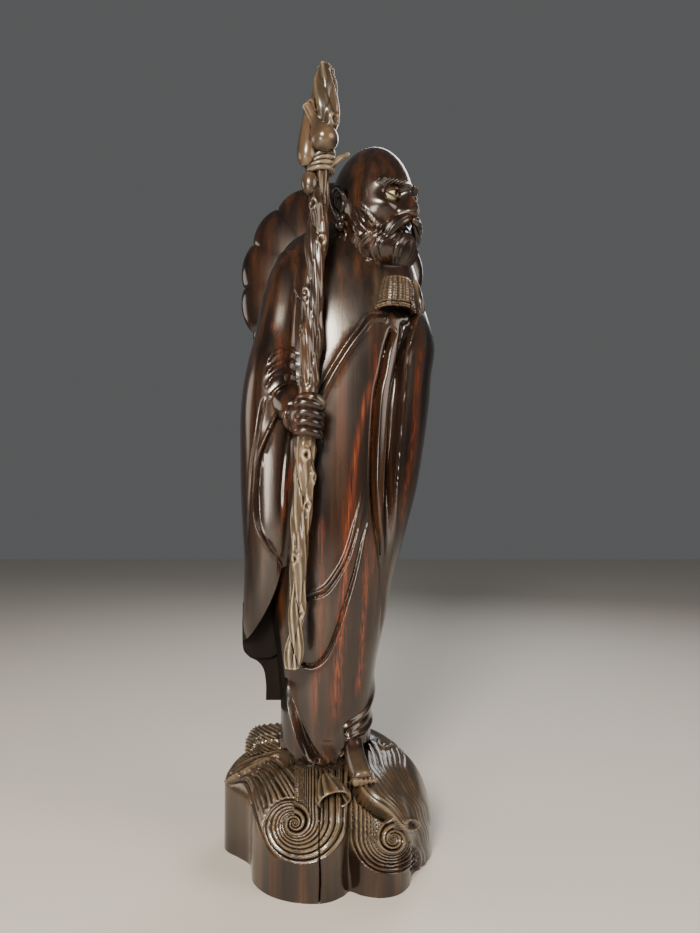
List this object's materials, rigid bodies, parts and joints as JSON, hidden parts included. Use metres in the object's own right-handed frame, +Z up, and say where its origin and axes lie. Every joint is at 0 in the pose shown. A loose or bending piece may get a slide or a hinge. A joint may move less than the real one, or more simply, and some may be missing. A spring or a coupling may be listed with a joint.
{
  "type": "monk statue",
  "caption": "Carved dark wood figure of a robed, bearded monk with a hat slung on the back, holding a tall gnarled staff with gourds, on a wave-carved base",
  "frame": {"origin": "middle of the flat underside of the base", "axes": "+Z up, -Y towards the viewer's side that the staff is on, +X to that viewer's right"},
  "size_m": [0.1863, 0.1746, 0.668],
  "materials": {
    "monk": "polished dark striped ebony with red-brown streaks",
    "staff": "polished paler ebony, gnarled and worn"
  },
  "bodies": {
    "root": {"monk_on_wave_base": "monk", "staff_with_gourds": "staff"}
  },
  "joints": []
}
